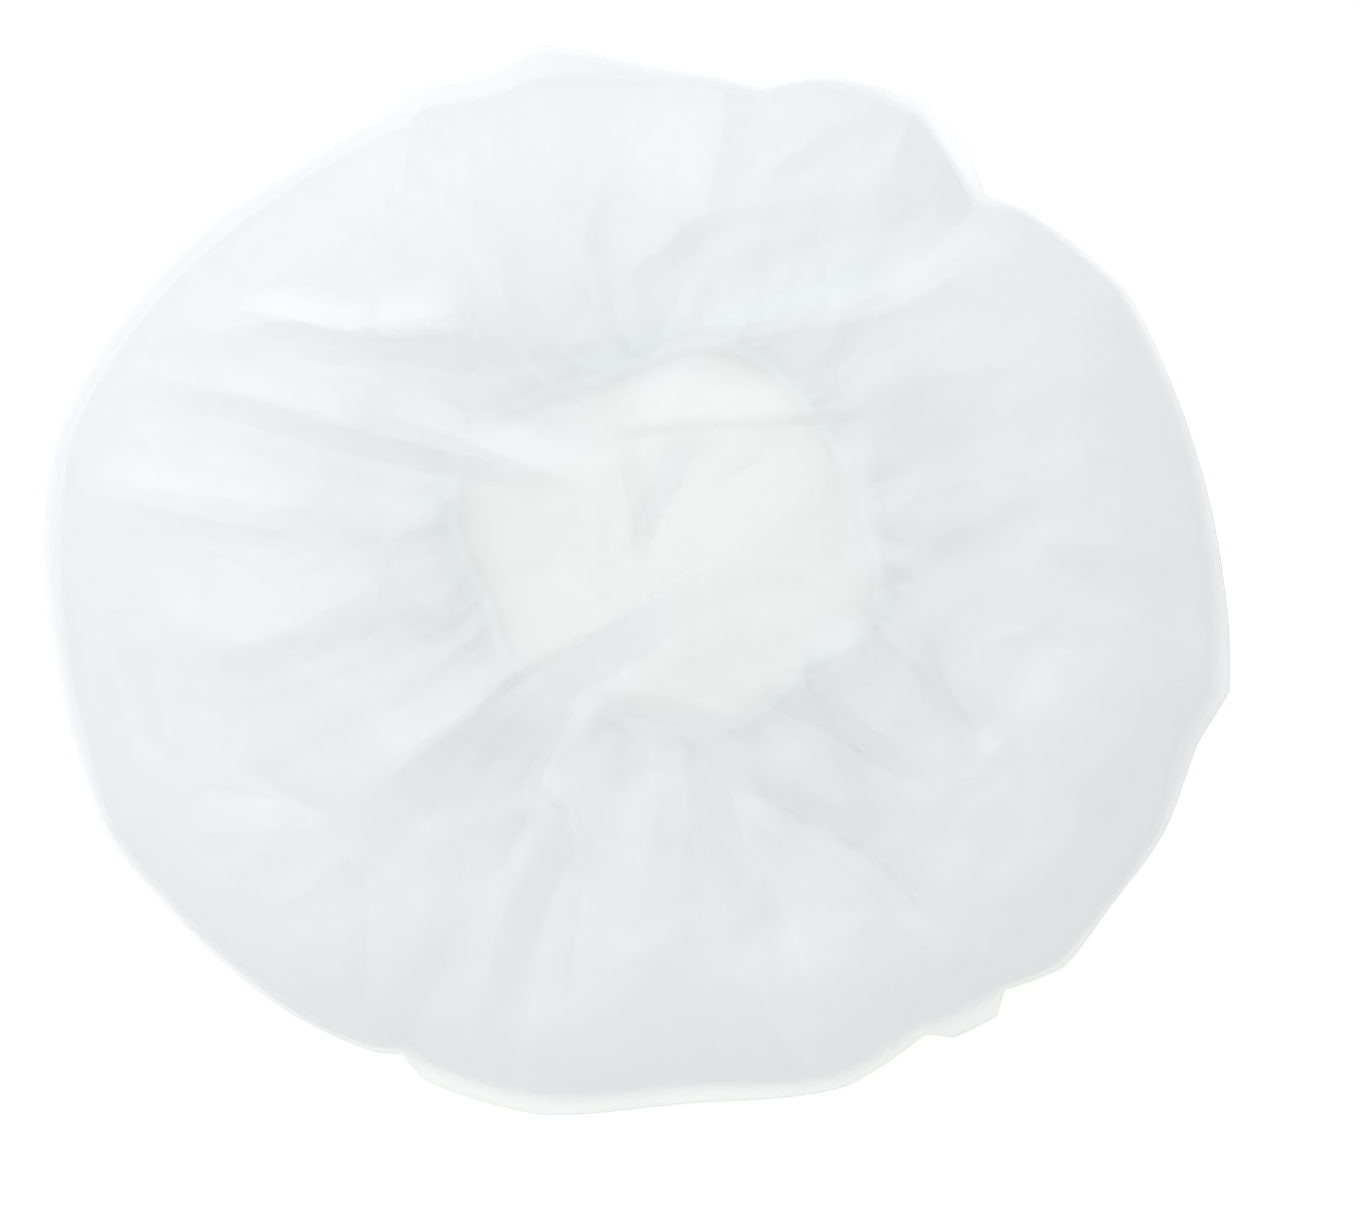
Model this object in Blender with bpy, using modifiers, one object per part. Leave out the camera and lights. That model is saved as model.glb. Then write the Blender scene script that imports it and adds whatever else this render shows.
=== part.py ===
"""A shower cap of thin translucent film, lying crown up on a table.

The cap is one round sheet of film whose edge is drawn in by an elastic. Lying flat, the sheet makes a
low puffed crown, turns under at a pressed lip all the way round, and runs back inwards below the
crown as a gathered underside. It ends in a hem that wraps the elastic round the head opening.

Metres, +Z up. The origin is on the table, under the middle of the cap's spread.
"""

import math
from collections import namedtuple

import bpy
from mathutils import Vector

# The film
SPREAD = 0.250  # the widest distance across the flattened cap, along X
FILM = 0.0010  # wall of the film
CROWN_RISE = 0.022  # top of the crown above the table
LIP_WIDTH = 0.0042  # pressed lip round the outline
LIP_HOLLOW = 0.0007  # space between the two films of the lip

# The head opening in the underside, with its elastic at rest
OPENING_WIDTH = 0.084  # clear opening along X, on average
OPENING_DEPTH = 0.074  # clear opening along Y, on average
OPENING_SHIFT_X = 0.006  # middle of the opening from the middle of the spread
OPENING_SHIFT_Y = 0.0095

# The elastic and the hem round it
ELASTIC = 0.0020  # diameter of the elastic
HEM_CLEARANCE = 0.0004  # between the elastic and the film round it

# The gathers of the underside
GATHERS = 22
GATHER_RISE = 0.0042  # highest ridge of a gather above the table
HEM_WAVE = 0.0008  # what is left of that rise at the hem

# How finely the shapes are divided
SECTION_STEP = 3.8  # most degrees between two sections
ELASTIC_ROUNDING = 1  # bevel resolution of the elastic, which gives it six sides

# Colours of the materials
FILM_COLOUR = (0.86, 0.89, 0.91, 1.0)
ELASTIC_COLOUR = (0.90, 0.90, 0.88, 1.0)

# The outline from above. Reach is a share of half the spread, and crisp is 1 at a true corner
# and 0 where the edge runs round smoothly.
RimPoint = namedtuple("RimPoint", "name angle reach crisp")
OUTLINE = (
    RimPoint("right side", 0.9, 0.988, 0.0),
    RimPoint("right arc foot", 9.4, 0.973, 0.0),
    RimPoint("right arc", 20.5, 0.961, 0.0),
    RimPoint("shoulder corner", 30.6, 0.958, 0.8),
    RimPoint("shoulder", 43.8, 0.902, 0.3),
    RimPoint("flap foot notch", 47.9, 0.876, 1.0),
    RimPoint("flap", 52.5, 0.912, 0.2),
    RimPoint("top right corner", 58.8, 0.940, 1.0),
    RimPoint("top right bulge", 68.9, 0.908, 0.0),
    RimPoint("top notch", 75.9, 0.856, 1.0),
    RimPoint("top edge", 88.4, 0.866, 0.0),
    RimPoint("top corner", 100.5, 0.915, 0.8),
    RimPoint("top left notch", 107.2, 0.889, 0.6),
    RimPoint("pleat corner", 114.7, 0.912, 1.0),
    RimPoint("pleat foot", 117.0, 0.894, 0.8),
    RimPoint("upper left edge", 129.0, 0.900, 0.0),
    RimPoint("upper left arc", 140.8, 0.938, 0.0),
    RimPoint("upper left", 156.8, 0.983, 0.4),
    RimPoint("left top", 166.2, 1.009, 0.3),
    RimPoint("left middle", 174.3, 1.005, 0.0),
    RimPoint("left", 183.9, 0.996, 0.0),
    RimPoint("left low", 195.4, 0.987, 0.0),
    RimPoint("left corner", 205.4, 0.992, 0.9),
    RimPoint("left kink", 214.5, 0.964, 0.5),
    RimPoint("lower left bulge", 221.7, 0.951, 0.0),
    RimPoint("lower left", 232.5, 0.932, 0.0),
    RimPoint("small bump", 241.0, 0.909, 0.5),
    RimPoint("bottom left notch", 243.6, 0.891, 1.0),
    RimPoint("bottom left corner", 247.1, 0.916, 0.7),
    RimPoint("bottom corner", 259.3, 0.916, 1.0),
    RimPoint("bottom edge", 275.9, 0.886, 0.0),
    RimPoint("bottom right corner", 292.4, 0.924, 0.6),
    RimPoint("notch after tab", 302.5, 0.908, 1.0),
    RimPoint("tab tip", 304.8, 0.939, 0.9),
    RimPoint("tab corner", 309.5, 0.954, 1.0),
    RimPoint("notch before tab", 311.9, 0.928, 1.0),
    RimPoint("lower right corner", 317.8, 0.970, 0.8),
    RimPoint("lower right edge", 325.5, 0.970, 0.0),
    RimPoint("lower right", 334.4, 0.985, 0.0),
    RimPoint("right dip", 343.5, 0.985, 0.3),
    RimPoint("right corner", 349.4, 1.017, 1.0),
    RimPoint("right bulge", 354.2, 1.005, 0.0),
)

# The head opening from above, as the slack elastic lies. Angle is the turn round its ellipse, and
# reach a share of the ellipse's own.
OPENING = (
    RimPoint("right", 359, 0.97, 0.0),
    RimPoint("upper right", 22, 0.93, 0.0),
    RimPoint("upper right edge", 42, 0.94, 0.0),
    RimPoint("top corner foot", 60, 1.02, 0.0),
    RimPoint("top corner", 77, 1.05, 0.0),
    RimPoint("top edge", 98, 0.92, 0.0),
    RimPoint("top left edge", 117, 0.89, 0.0),
    RimPoint("upper left corner", 152, 1.05, 0.0),
    RimPoint("left", 175, 1.00, 0.0),
    RimPoint("lower left edge", 202, 0.91, 0.0),
    RimPoint("lower left", 223, 0.99, 0.0),
    RimPoint("bottom edge", 246, 0.97, 0.0),
    RimPoint("bottom corner", 279, 1.08, 0.0),
    RimPoint("lower right corner", 298, 1.04, 0.0),
    RimPoint("lower right edge", 316, 0.95, 0.0),
    RimPoint("right corner", 337, 1.08, 0.0),
)

# The crown from its middle to the root of the lip. Reach is a share of the outline's own reach and
# rise a share of the crown's rise, measured on the outside of the film.
CrownRing = namedtuple("CrownRing", "name reach rise")
CROWN = (
    CrownRing("round the middle", 0.10, 0.97),
    CrownRing("inner top", 0.22, 0.98),
    CrownRing("above the opening's edge", 0.36, 1.00),
    CrownRing("outer top", 0.51, 1.00),
    CrownRing("outer slope", 0.66, 0.97),
    CrownRing("upper shoulder", 0.80, 0.88),
    CrownRing("shoulder", 0.91, 0.64),
)
CROWN_MIDDLE_RISE = 0.96  # share of the crown's rise at the very middle

# The main folds of the crown. Each runs between two points given as an angle and a share of half
# the spread. Rise is a share of the crown's rise, below 0 for a furrow, and width, from the fold's
# line to its foot, a share of half the spread.
Fold = namedtuple("Fold", "name from_angle from_reach to_angle to_reach rise width")
FOLDS = (
    Fold("long slanting ridge", 20, 0.06, 217, 0.60, 0.14, 0.16),
    Fold("furrow below the ridge", 232, 0.18, 240, 0.84, -0.12, 0.14),
    Fold("bottom left ridge", 247, 0.30, 258, 0.86, 0.10, 0.11),
    Fold("bottom furrow", 252, 0.34, 262, 0.80, -0.08, 0.08),
    Fold("bottom ridge", 276, 0.30, 276, 0.82, 0.09, 0.16),
    Fold("bottom right furrow", 290, 0.30, 292, 0.84, -0.14, 0.10),
    Fold("lower right ridge", 285, 0.24, 318, 0.70, 0.10, 0.10),
    Fold("furrow to the tab", 312, 0.40, 309, 0.88, -0.13, 0.10),
    Fold("right ridge", 335, 0.36, 342, 0.88, 0.10, 0.16),
    Fold("right furrow", 350, 0.44, 352, 0.92, -0.14, 0.09),
    Fold("upper right ridge", 15, 0.45, 17, 0.88, 0.09, 0.13),
    Fold("shoulder furrow", 30, 0.40, 26, 0.84, -0.09, 0.12),
    Fold("ridge to the flap", 62, 0.32, 49, 0.84, 0.12, 0.12),
    Fold("furrow to the corner", 88, 0.40, 60, 0.86, -0.13, 0.10),
    Fold("top ridge", 98, 0.42, 92, 0.80, 0.09, 0.15),
    Fold("pleat furrow", 133, 0.54, 117, 0.84, -0.12, 0.09),
    Fold("upper left ridge", 125, 0.46, 146, 0.74, 0.13, 0.10),
    Fold("left furrow", 120, 0.34, 158, 0.90, -0.14, 0.09),
    Fold("left ridge", 112, 0.20, 161, 0.78, 0.10, 0.10),
    Fold("lower left furrow", 178, 0.30, 186, 0.86, -0.08, 0.12),
    Fold("lower left ridge", 196, 0.40, 203, 0.80, 0.08, 0.14),
    Fold("notch in the middle", 75, 0.04, 76, 0.24, -0.12, 0.09),
)
FOLD_TAPER = 0.25  # share of a fold's length over which it rises at each end

# The underside from the rim to the hem. Way is the share of the way in from the rim to the hem,
# and gather the share of the gathers' rise.
UnderRing = namedtuple("UnderRing", "name way gather")
UNDERSIDE = (
    UnderRing("flat foot outside", 0.05, 0.00),
    UnderRing("flat foot inside", 0.17, 0.00),
    UnderRing("gathers start", 0.34, 0.45),
    UnderRing("gathers rise", 0.54, 0.90),
    UnderRing("gathers full", 0.74, 1.00),
    UnderRing("gathers narrow", 0.90, 0.60),
)
HEM_TURNS = (270, 205, 140, 75)  # degrees round the elastic at which the hem has a ring
EDGE_STEP = 0.5  # degrees to either side at which the opening's edge is compared for its direction
LIP_TURN = 0.28  # share of the lip's width over which it turns round the rim
GATHER_WANDER = 0.9  # how far, in radians, the gathers stray from even spacing

LIP_THICKNESS = 2 * FILM + LIP_HOLLOW
HEM_RADIUS = ELASTIC / 2 + HEM_CLEARANCE + FILM


def reach_at(table, angle):
    """Reach at an angle: a cubic through a table's points, whose slope breaks at each point by as
    much as the point is crisp."""
    count = len(table)
    turned = (angle - table[0].angle) % 360
    here = max(i for i in range(count) if (table[i].angle - table[0].angle) % 360 <= turned)
    turned += table[0].angle

    def point(i):
        around = (table[i % count].angle - table[0].angle) % 360 + table[0].angle
        return around + 360 * (i // count), table[i % count].reach

    (a0, r0), (a1, r1), (a2, r2), (a3, r3) = (point(here + k) for k in (-1, 0, 1, 2))
    chord = (r2 - r1) / (a2 - a1)
    crisp_start = table[here % count].crisp
    crisp_end = table[(here + 1) % count].crisp
    start = (1 - crisp_start) * (r2 - r0) / (a2 - a0) + crisp_start * chord
    end = (1 - crisp_end) * (r3 - r1) / (a3 - a1) + crisp_end * chord
    gap = a2 - a1
    t = (turned - a1) / gap
    return (
        (1 + 2 * t) * (1 - t) ** 2 * r1
        + t * (1 - t) ** 2 * gap * start
        + t**2 * (3 - 2 * t) * r2
        + t**2 * (t - 1) * gap * end
    )


def section_angles():
    """Angles of the sections: every outline point, and even steps between them."""
    angles = []
    for i, point in enumerate(OUTLINE):
        following = OUTLINE[(i + 1) % len(OUTLINE)]
        gap = (following.angle - point.angle) % 360
        steps = math.ceil(gap / SECTION_STEP)
        angles += [point.angle + gap * k / steps for k in range(steps)]
    return angles


def direction(angle):
    return Vector((math.cos(math.radians(angle)), math.sin(math.radians(angle)), 0))


def polar(angle, reach):
    """A point of the table given as an angle and a share of half the spread."""
    return direction(angle) * reach * SPREAD / 2


def rim_length(angle):
    return reach_at(OUTLINE, angle) * SPREAD / 2


def eased(t):
    t = min(max(t, 0.0), 1.0)
    return t * t * (3 - 2 * t)


def fold_rise(place):
    """What the crown's folds add to its height at a place: each is a tent across its line, eased
    at its crest and foot, that fades towards both ends."""
    total = 0.0
    for fold in FOLDS:
        start = polar(fold.from_angle, fold.from_reach)
        end = polar(fold.to_angle, fold.to_reach)
        run = end - start
        along = (place - start).dot(run) / run.length_squared
        if not 0 < along < 1:
            continue
        aside = (place - start - run * along).length
        across = eased(1 - aside / (fold.width * SPREAD / 2))
        ends = eased(along / FOLD_TAPER) * eased((1 - along) / FOLD_TAPER)
        total += fold.rise * CROWN_RISE * across * ends
    return total


def gather_wave(angle):
    """0 in the valleys of the gathers and 1 on their ridges."""
    turn = math.radians(angle)
    wander = GATHER_WANDER * (math.sin(3 * turn) + 0.6 * math.sin(5 * turn + 1.0))
    return (1 - math.cos(GATHERS * turn + wander)) / 2


def opening_edge(angle):
    """The clear edge of the head opening, in plan."""
    middle = Vector((OPENING_SHIFT_X, OPENING_SHIFT_Y, 0))
    turn = direction(angle) * reach_at(OPENING, angle)
    return middle + Vector((turn.x * OPENING_WIDTH / 2, turn.y * OPENING_DEPTH / 2, 0))


def hem_outward(angle):
    """Square to the opening's edge in plan, away from the opening."""
    along = opening_edge(angle + EDGE_STEP) - opening_edge(angle - EDGE_STEP)
    return Vector((along.y, -along.x, 0)).normalized()


def hem_centre(angle):
    """The line that the elastic follows inside the hem."""
    height = HEM_RADIUS + HEM_WAVE * gather_wave(angle)
    return opening_edge(angle) + hem_outward(angle) * HEM_RADIUS + Vector((0, 0, height))


def crown_rings(angles):
    rings = []
    for ring in CROWN:
        points = []
        for angle in angles:
            place = direction(angle) * ring.reach * (rim_length(angle) - LIP_WIDTH)
            height = max(ring.rise * CROWN_RISE + fold_rise(place), LIP_THICKNESS)
            points.append(place + Vector((0, 0, height)))
        rings.append(points)
    return rings


def lip_rings(angles):
    """The root of the lip, its top, the rim itself and the turn below it."""
    turned_in = LIP_TURN * LIP_WIDTH
    levels = (
        (LIP_WIDTH, LIP_THICKNESS),
        (turned_in, LIP_THICKNESS),
        (0.0, LIP_THICKNESS / 2),
        (turned_in, 0.0),
    )
    return [
        [direction(angle) * (rim_length(angle) - inset) + Vector((0, 0, height)) for angle in angles]
        for inset, height in levels
    ]


def underside_rings(angles):
    """The outside of the underside, which lies on the table in the valleys of the gathers."""
    rings = []
    for ring in UNDERSIDE:
        points = []
        for angle in angles:
            rim = direction(angle) * (rim_length(angle) - LIP_WIDTH)
            hem = hem_centre(angle)
            place = rim.lerp(Vector((hem.x, hem.y, 0)), ring.way)
            height = ring.gather * GATHER_RISE * gather_wave(angle)
            points.append(place + Vector((0, 0, height)))
        rings.append(points)
    return rings


def hem_rings(angles):
    """The film's last turn: under the elastic, up its inner side and back over its top."""
    rings = []
    for turn in HEM_TURNS:
        outward = HEM_RADIUS * math.cos(math.radians(turn))
        upward = HEM_RADIUS * math.sin(math.radians(turn))
        rings.append(
            [
                hem_centre(angle) + hem_outward(angle) * outward + Vector((0, 0, upward))
                for angle in angles
            ]
        )
    return rings


def material(name, colour, roughness, alpha):
    made = bpy.data.materials.new(name)
    made.use_nodes = True
    shader = made.node_tree.nodes["Principled BSDF"]
    shader.inputs["Base Color"].default_value = colour
    shader.inputs["Roughness"].default_value = roughness
    shader.inputs["Metallic"].default_value = 0.0
    shader.inputs["Alpha"].default_value = alpha
    return made


def collection(name):
    made = bpy.data.collections.new(name)
    bpy.context.scene.collection.children.link(made)
    return made


def make_film(parts, angles):
    """The film is lofted as one open surface, from the middle of the crown to the edge of the hem,
    and then given its wall on the inside."""
    middle = Vector((0, 0, CROWN_MIDDLE_RISE * CROWN_RISE + fold_rise(Vector((0, 0, 0)))))
    rings = crown_rings(angles) + lip_rings(angles) + underside_rings(angles) + hem_rings(angles)
    count = len(angles)
    vertices = [middle] + [point for ring in rings for point in ring]
    faces = [(0, 1 + j, 1 + (j + 1) % count) for j in range(count)]
    for i in range(len(rings) - 1):
        inner, outer = 1 + i * count, 1 + (i + 1) * count
        for j in range(count):
            after = (j + 1) % count
            faces.append((inner + j, outer + j, outer + after, inner + after))
    mesh = bpy.data.meshes.new("cap_film")
    mesh.from_pydata(vertices, [], faces)
    mesh.shade_smooth()
    film = bpy.data.objects.new("cap_film", mesh)
    parts.objects.link(film)
    wall = film.modifiers.new("film wall", "SOLIDIFY")
    wall.thickness = FILM
    wall.offset = -1
    mesh.materials.append(material("translucent film", FILM_COLOUR, 0.35, 0.6))
    return film


def make_elastic(parts, angles):
    """A round elastic, closed on itself, along the middle of the hem."""
    line = bpy.data.curves.new("elastic_band", "CURVE")
    line.dimensions = "3D"
    line.bevel_depth = ELASTIC / 2
    line.bevel_resolution = ELASTIC_ROUNDING
    spline = line.splines.new("POLY")
    spline.points.add(len(angles) - 1)
    for point, angle in zip(spline.points, angles):
        point.co = (*hem_centre(angle), 1)
    spline.use_cyclic_u = True
    elastic = bpy.data.objects.new("elastic_band", line)
    parts.objects.link(elastic)
    line.materials.append(material("elastic", ELASTIC_COLOUR, 0.7, 1.0))
    return elastic


def main():
    for old in list(bpy.data.objects):
        bpy.data.objects.remove(old)
    parts = collection("shower_cap")
    angles = section_angles()
    make_film(parts, angles)
    make_elastic(parts, angles)


main()
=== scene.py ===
"""A shower cap of thin frosted film, lying crown up on a pale table, laid out as a Blender add-on.

The film is one sheet: a puffed crown with its folds, a pressed lip all round, and a gathered
underside that ends in a hem round the elastic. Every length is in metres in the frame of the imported
part, whose origin is on the table under the middle of the cap.
"""

import math
from collections import namedtuple
from functools import partial

import bpy
import numpy as np
from bpy.props import FloatProperty, FloatVectorProperty, IntProperty, PointerProperty
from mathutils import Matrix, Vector


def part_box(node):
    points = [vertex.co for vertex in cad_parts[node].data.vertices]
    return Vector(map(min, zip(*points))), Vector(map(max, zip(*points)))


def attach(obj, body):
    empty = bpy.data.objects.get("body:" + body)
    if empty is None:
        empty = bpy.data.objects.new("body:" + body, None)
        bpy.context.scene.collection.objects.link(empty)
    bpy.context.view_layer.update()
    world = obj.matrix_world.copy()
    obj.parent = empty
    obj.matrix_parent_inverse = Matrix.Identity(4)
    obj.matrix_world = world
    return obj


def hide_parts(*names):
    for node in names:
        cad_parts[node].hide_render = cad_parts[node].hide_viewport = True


bl_info = {
    "name": "Shower Cap",
    "version": (1, 0, 0),
    "blender": (4, 5, 0),
    "location": "View3D > Sidebar > Shower Cap",
    "description": "Builds a shower cap of frosted film with its elastic, on a lit table",
    "category": "Object",
}

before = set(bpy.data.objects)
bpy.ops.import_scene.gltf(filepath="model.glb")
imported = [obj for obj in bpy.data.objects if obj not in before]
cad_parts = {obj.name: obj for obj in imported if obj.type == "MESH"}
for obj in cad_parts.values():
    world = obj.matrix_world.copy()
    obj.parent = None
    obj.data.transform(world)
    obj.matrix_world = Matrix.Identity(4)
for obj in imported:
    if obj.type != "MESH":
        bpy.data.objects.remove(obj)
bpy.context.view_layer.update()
BAND_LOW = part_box("elastic_band")[0][2]

HALF_SPREAD = 0.125  # half the cap's width, and the length that the reaches below are shares of

Length = partial(FloatProperty, unit="LENGTH")
Colour = partial(FloatVectorProperty, subtype="COLOR")

# Where a photographed point lies, in pixels of the 1360 by 1226 photograph
PHOTO_MIDDLE = (636.0, 579.5)  # the middle of the cap
PHOTO_CENTRE = (680.0, 613.0)  # the centre of the picture
PHOTO_CAP_WIDTH = 1186
PHOTO_PIXEL = 2 * HALF_SPREAD / PHOTO_CAP_WIDTH  # metres that one pixel covers

# The outline from above. Reach is a share of half the spread, and crisp is 1 at a true corner
# and 0 where the edge runs round smoothly. Lip is the share of the lip's full width there, and
# clear is 1 where the lip's film is at its clearest.
RimPoint = namedtuple("RimPoint", "name angle reach crisp lip clear", defaults=(0.0,))
OUTLINE = (
    RimPoint("right side", 0.9, 0.988, 0.0, 0.75),
    RimPoint("right arc foot", 9.4, 0.973, 0.0, 0.60),
    RimPoint("right arc", 20.5, 0.961, 0.0, 0.55),
    RimPoint("shoulder corner", 30.6, 0.958, 0.8, 0.45),
    RimPoint("shoulder", 43.8, 0.902, 0.3, 0.50),
    RimPoint("flap foot notch", 47.9, 0.876, 1.0, 0.90, 0.5),
    RimPoint("flap", 52.5, 0.912, 0.2, 1.10, 1.0),
    RimPoint("top right corner", 58.8, 0.940, 1.0, 0.80, 0.6),
    RimPoint("top right bulge", 68.9, 0.908, 0.0, 0.50),
    RimPoint("top notch", 75.9, 0.856, 1.0, 0.50),
    RimPoint("top edge", 88.4, 0.866, 0.0, 0.90),
    RimPoint("top corner", 100.5, 0.915, 0.8, 1.60, 0.2),
    RimPoint("top left notch", 107.2, 0.889, 0.6, 1.20, 0.3),
    RimPoint("pleat corner", 114.7, 0.912, 1.0, 1.20, 0.4),
    RimPoint("pleat foot", 117.0, 0.894, 0.8, 1.10, 0.3),
    RimPoint("upper left edge", 129.0, 0.900, 0.0, 0.70),
    RimPoint("upper left arc", 140.8, 0.938, 0.0, 1.00),
    RimPoint("upper left", 156.8, 0.983, 0.4, 0.80),
    RimPoint("left top", 166.2, 1.009, 0.3, 0.80),
    RimPoint("left middle", 174.3, 1.005, 0.0, 0.90),
    RimPoint("left", 183.9, 0.996, 0.0, 0.85),
    RimPoint("left low", 195.4, 0.987, 0.0, 0.60),
    RimPoint("left corner", 205.4, 0.992, 0.9, 0.45),
    RimPoint("left kink", 214.5, 0.964, 0.5, 0.35),
    RimPoint("lower left bulge", 221.7, 0.951, 0.0, 0.35),
    RimPoint("lower left", 232.5, 0.932, 0.0, 0.35),
    RimPoint("small bump", 241.0, 0.909, 0.5, 0.40),
    RimPoint("bottom left notch", 243.6, 0.891, 1.0, 0.50, 0.3),
    RimPoint("bottom left corner", 247.1, 0.916, 0.7, 0.90, 0.8),
    RimPoint("bottom corner", 259.3, 0.916, 1.0, 1.00, 0.8),
    RimPoint("bottom edge", 275.9, 0.886, 0.0, 0.90, 0.8),
    RimPoint("bottom right corner", 292.4, 0.924, 0.6, 0.75, 0.8),
    RimPoint("notch after tab", 302.5, 0.908, 1.0, 0.70, 0.8),
    RimPoint("tab tip", 304.8, 0.939, 0.9, 1.20, 0.75),
    RimPoint("tab corner", 309.5, 0.954, 1.0, 1.20, 0.75),
    RimPoint("notch before tab", 311.9, 0.928, 1.0, 0.40, 0.3),
    RimPoint("lower right corner", 317.8, 0.970, 0.8, 0.40),
    RimPoint("lower right edge", 325.5, 0.970, 0.0, 0.35),
    RimPoint("lower right", 334.4, 0.985, 0.0, 0.45),
    RimPoint("right dip", 343.5, 0.985, 0.3, 0.80),
    RimPoint("right corner", 349.4, 1.017, 1.0, 0.95),
    RimPoint("right bulge", 354.2, 1.005, 0.0, 0.90),
)

# The crown from its middle to the root of the lip: shares of the outline's reach and of the rise
CrownRing = namedtuple("CrownRing", "name reach rise")
CROWN = (
    CrownRing("middle", 0.00, 0.96),
    CrownRing("round the middle", 0.10, 0.97),
    CrownRing("inner top", 0.22, 0.98),
    CrownRing("above the opening's edge", 0.36, 1.00),
    CrownRing("outer top", 0.51, 1.00),
    CrownRing("outer slope", 0.66, 0.95),
    CrownRing("upper shoulder", 0.80, 0.82),
    CrownRing("shoulder", 0.91, 0.54),
    CrownRing("root of the lip", 1.00, 0.04),
)
ROOT_STEEPNESS = 1.2  # the crown's slope at the lip, against the last run's

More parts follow.
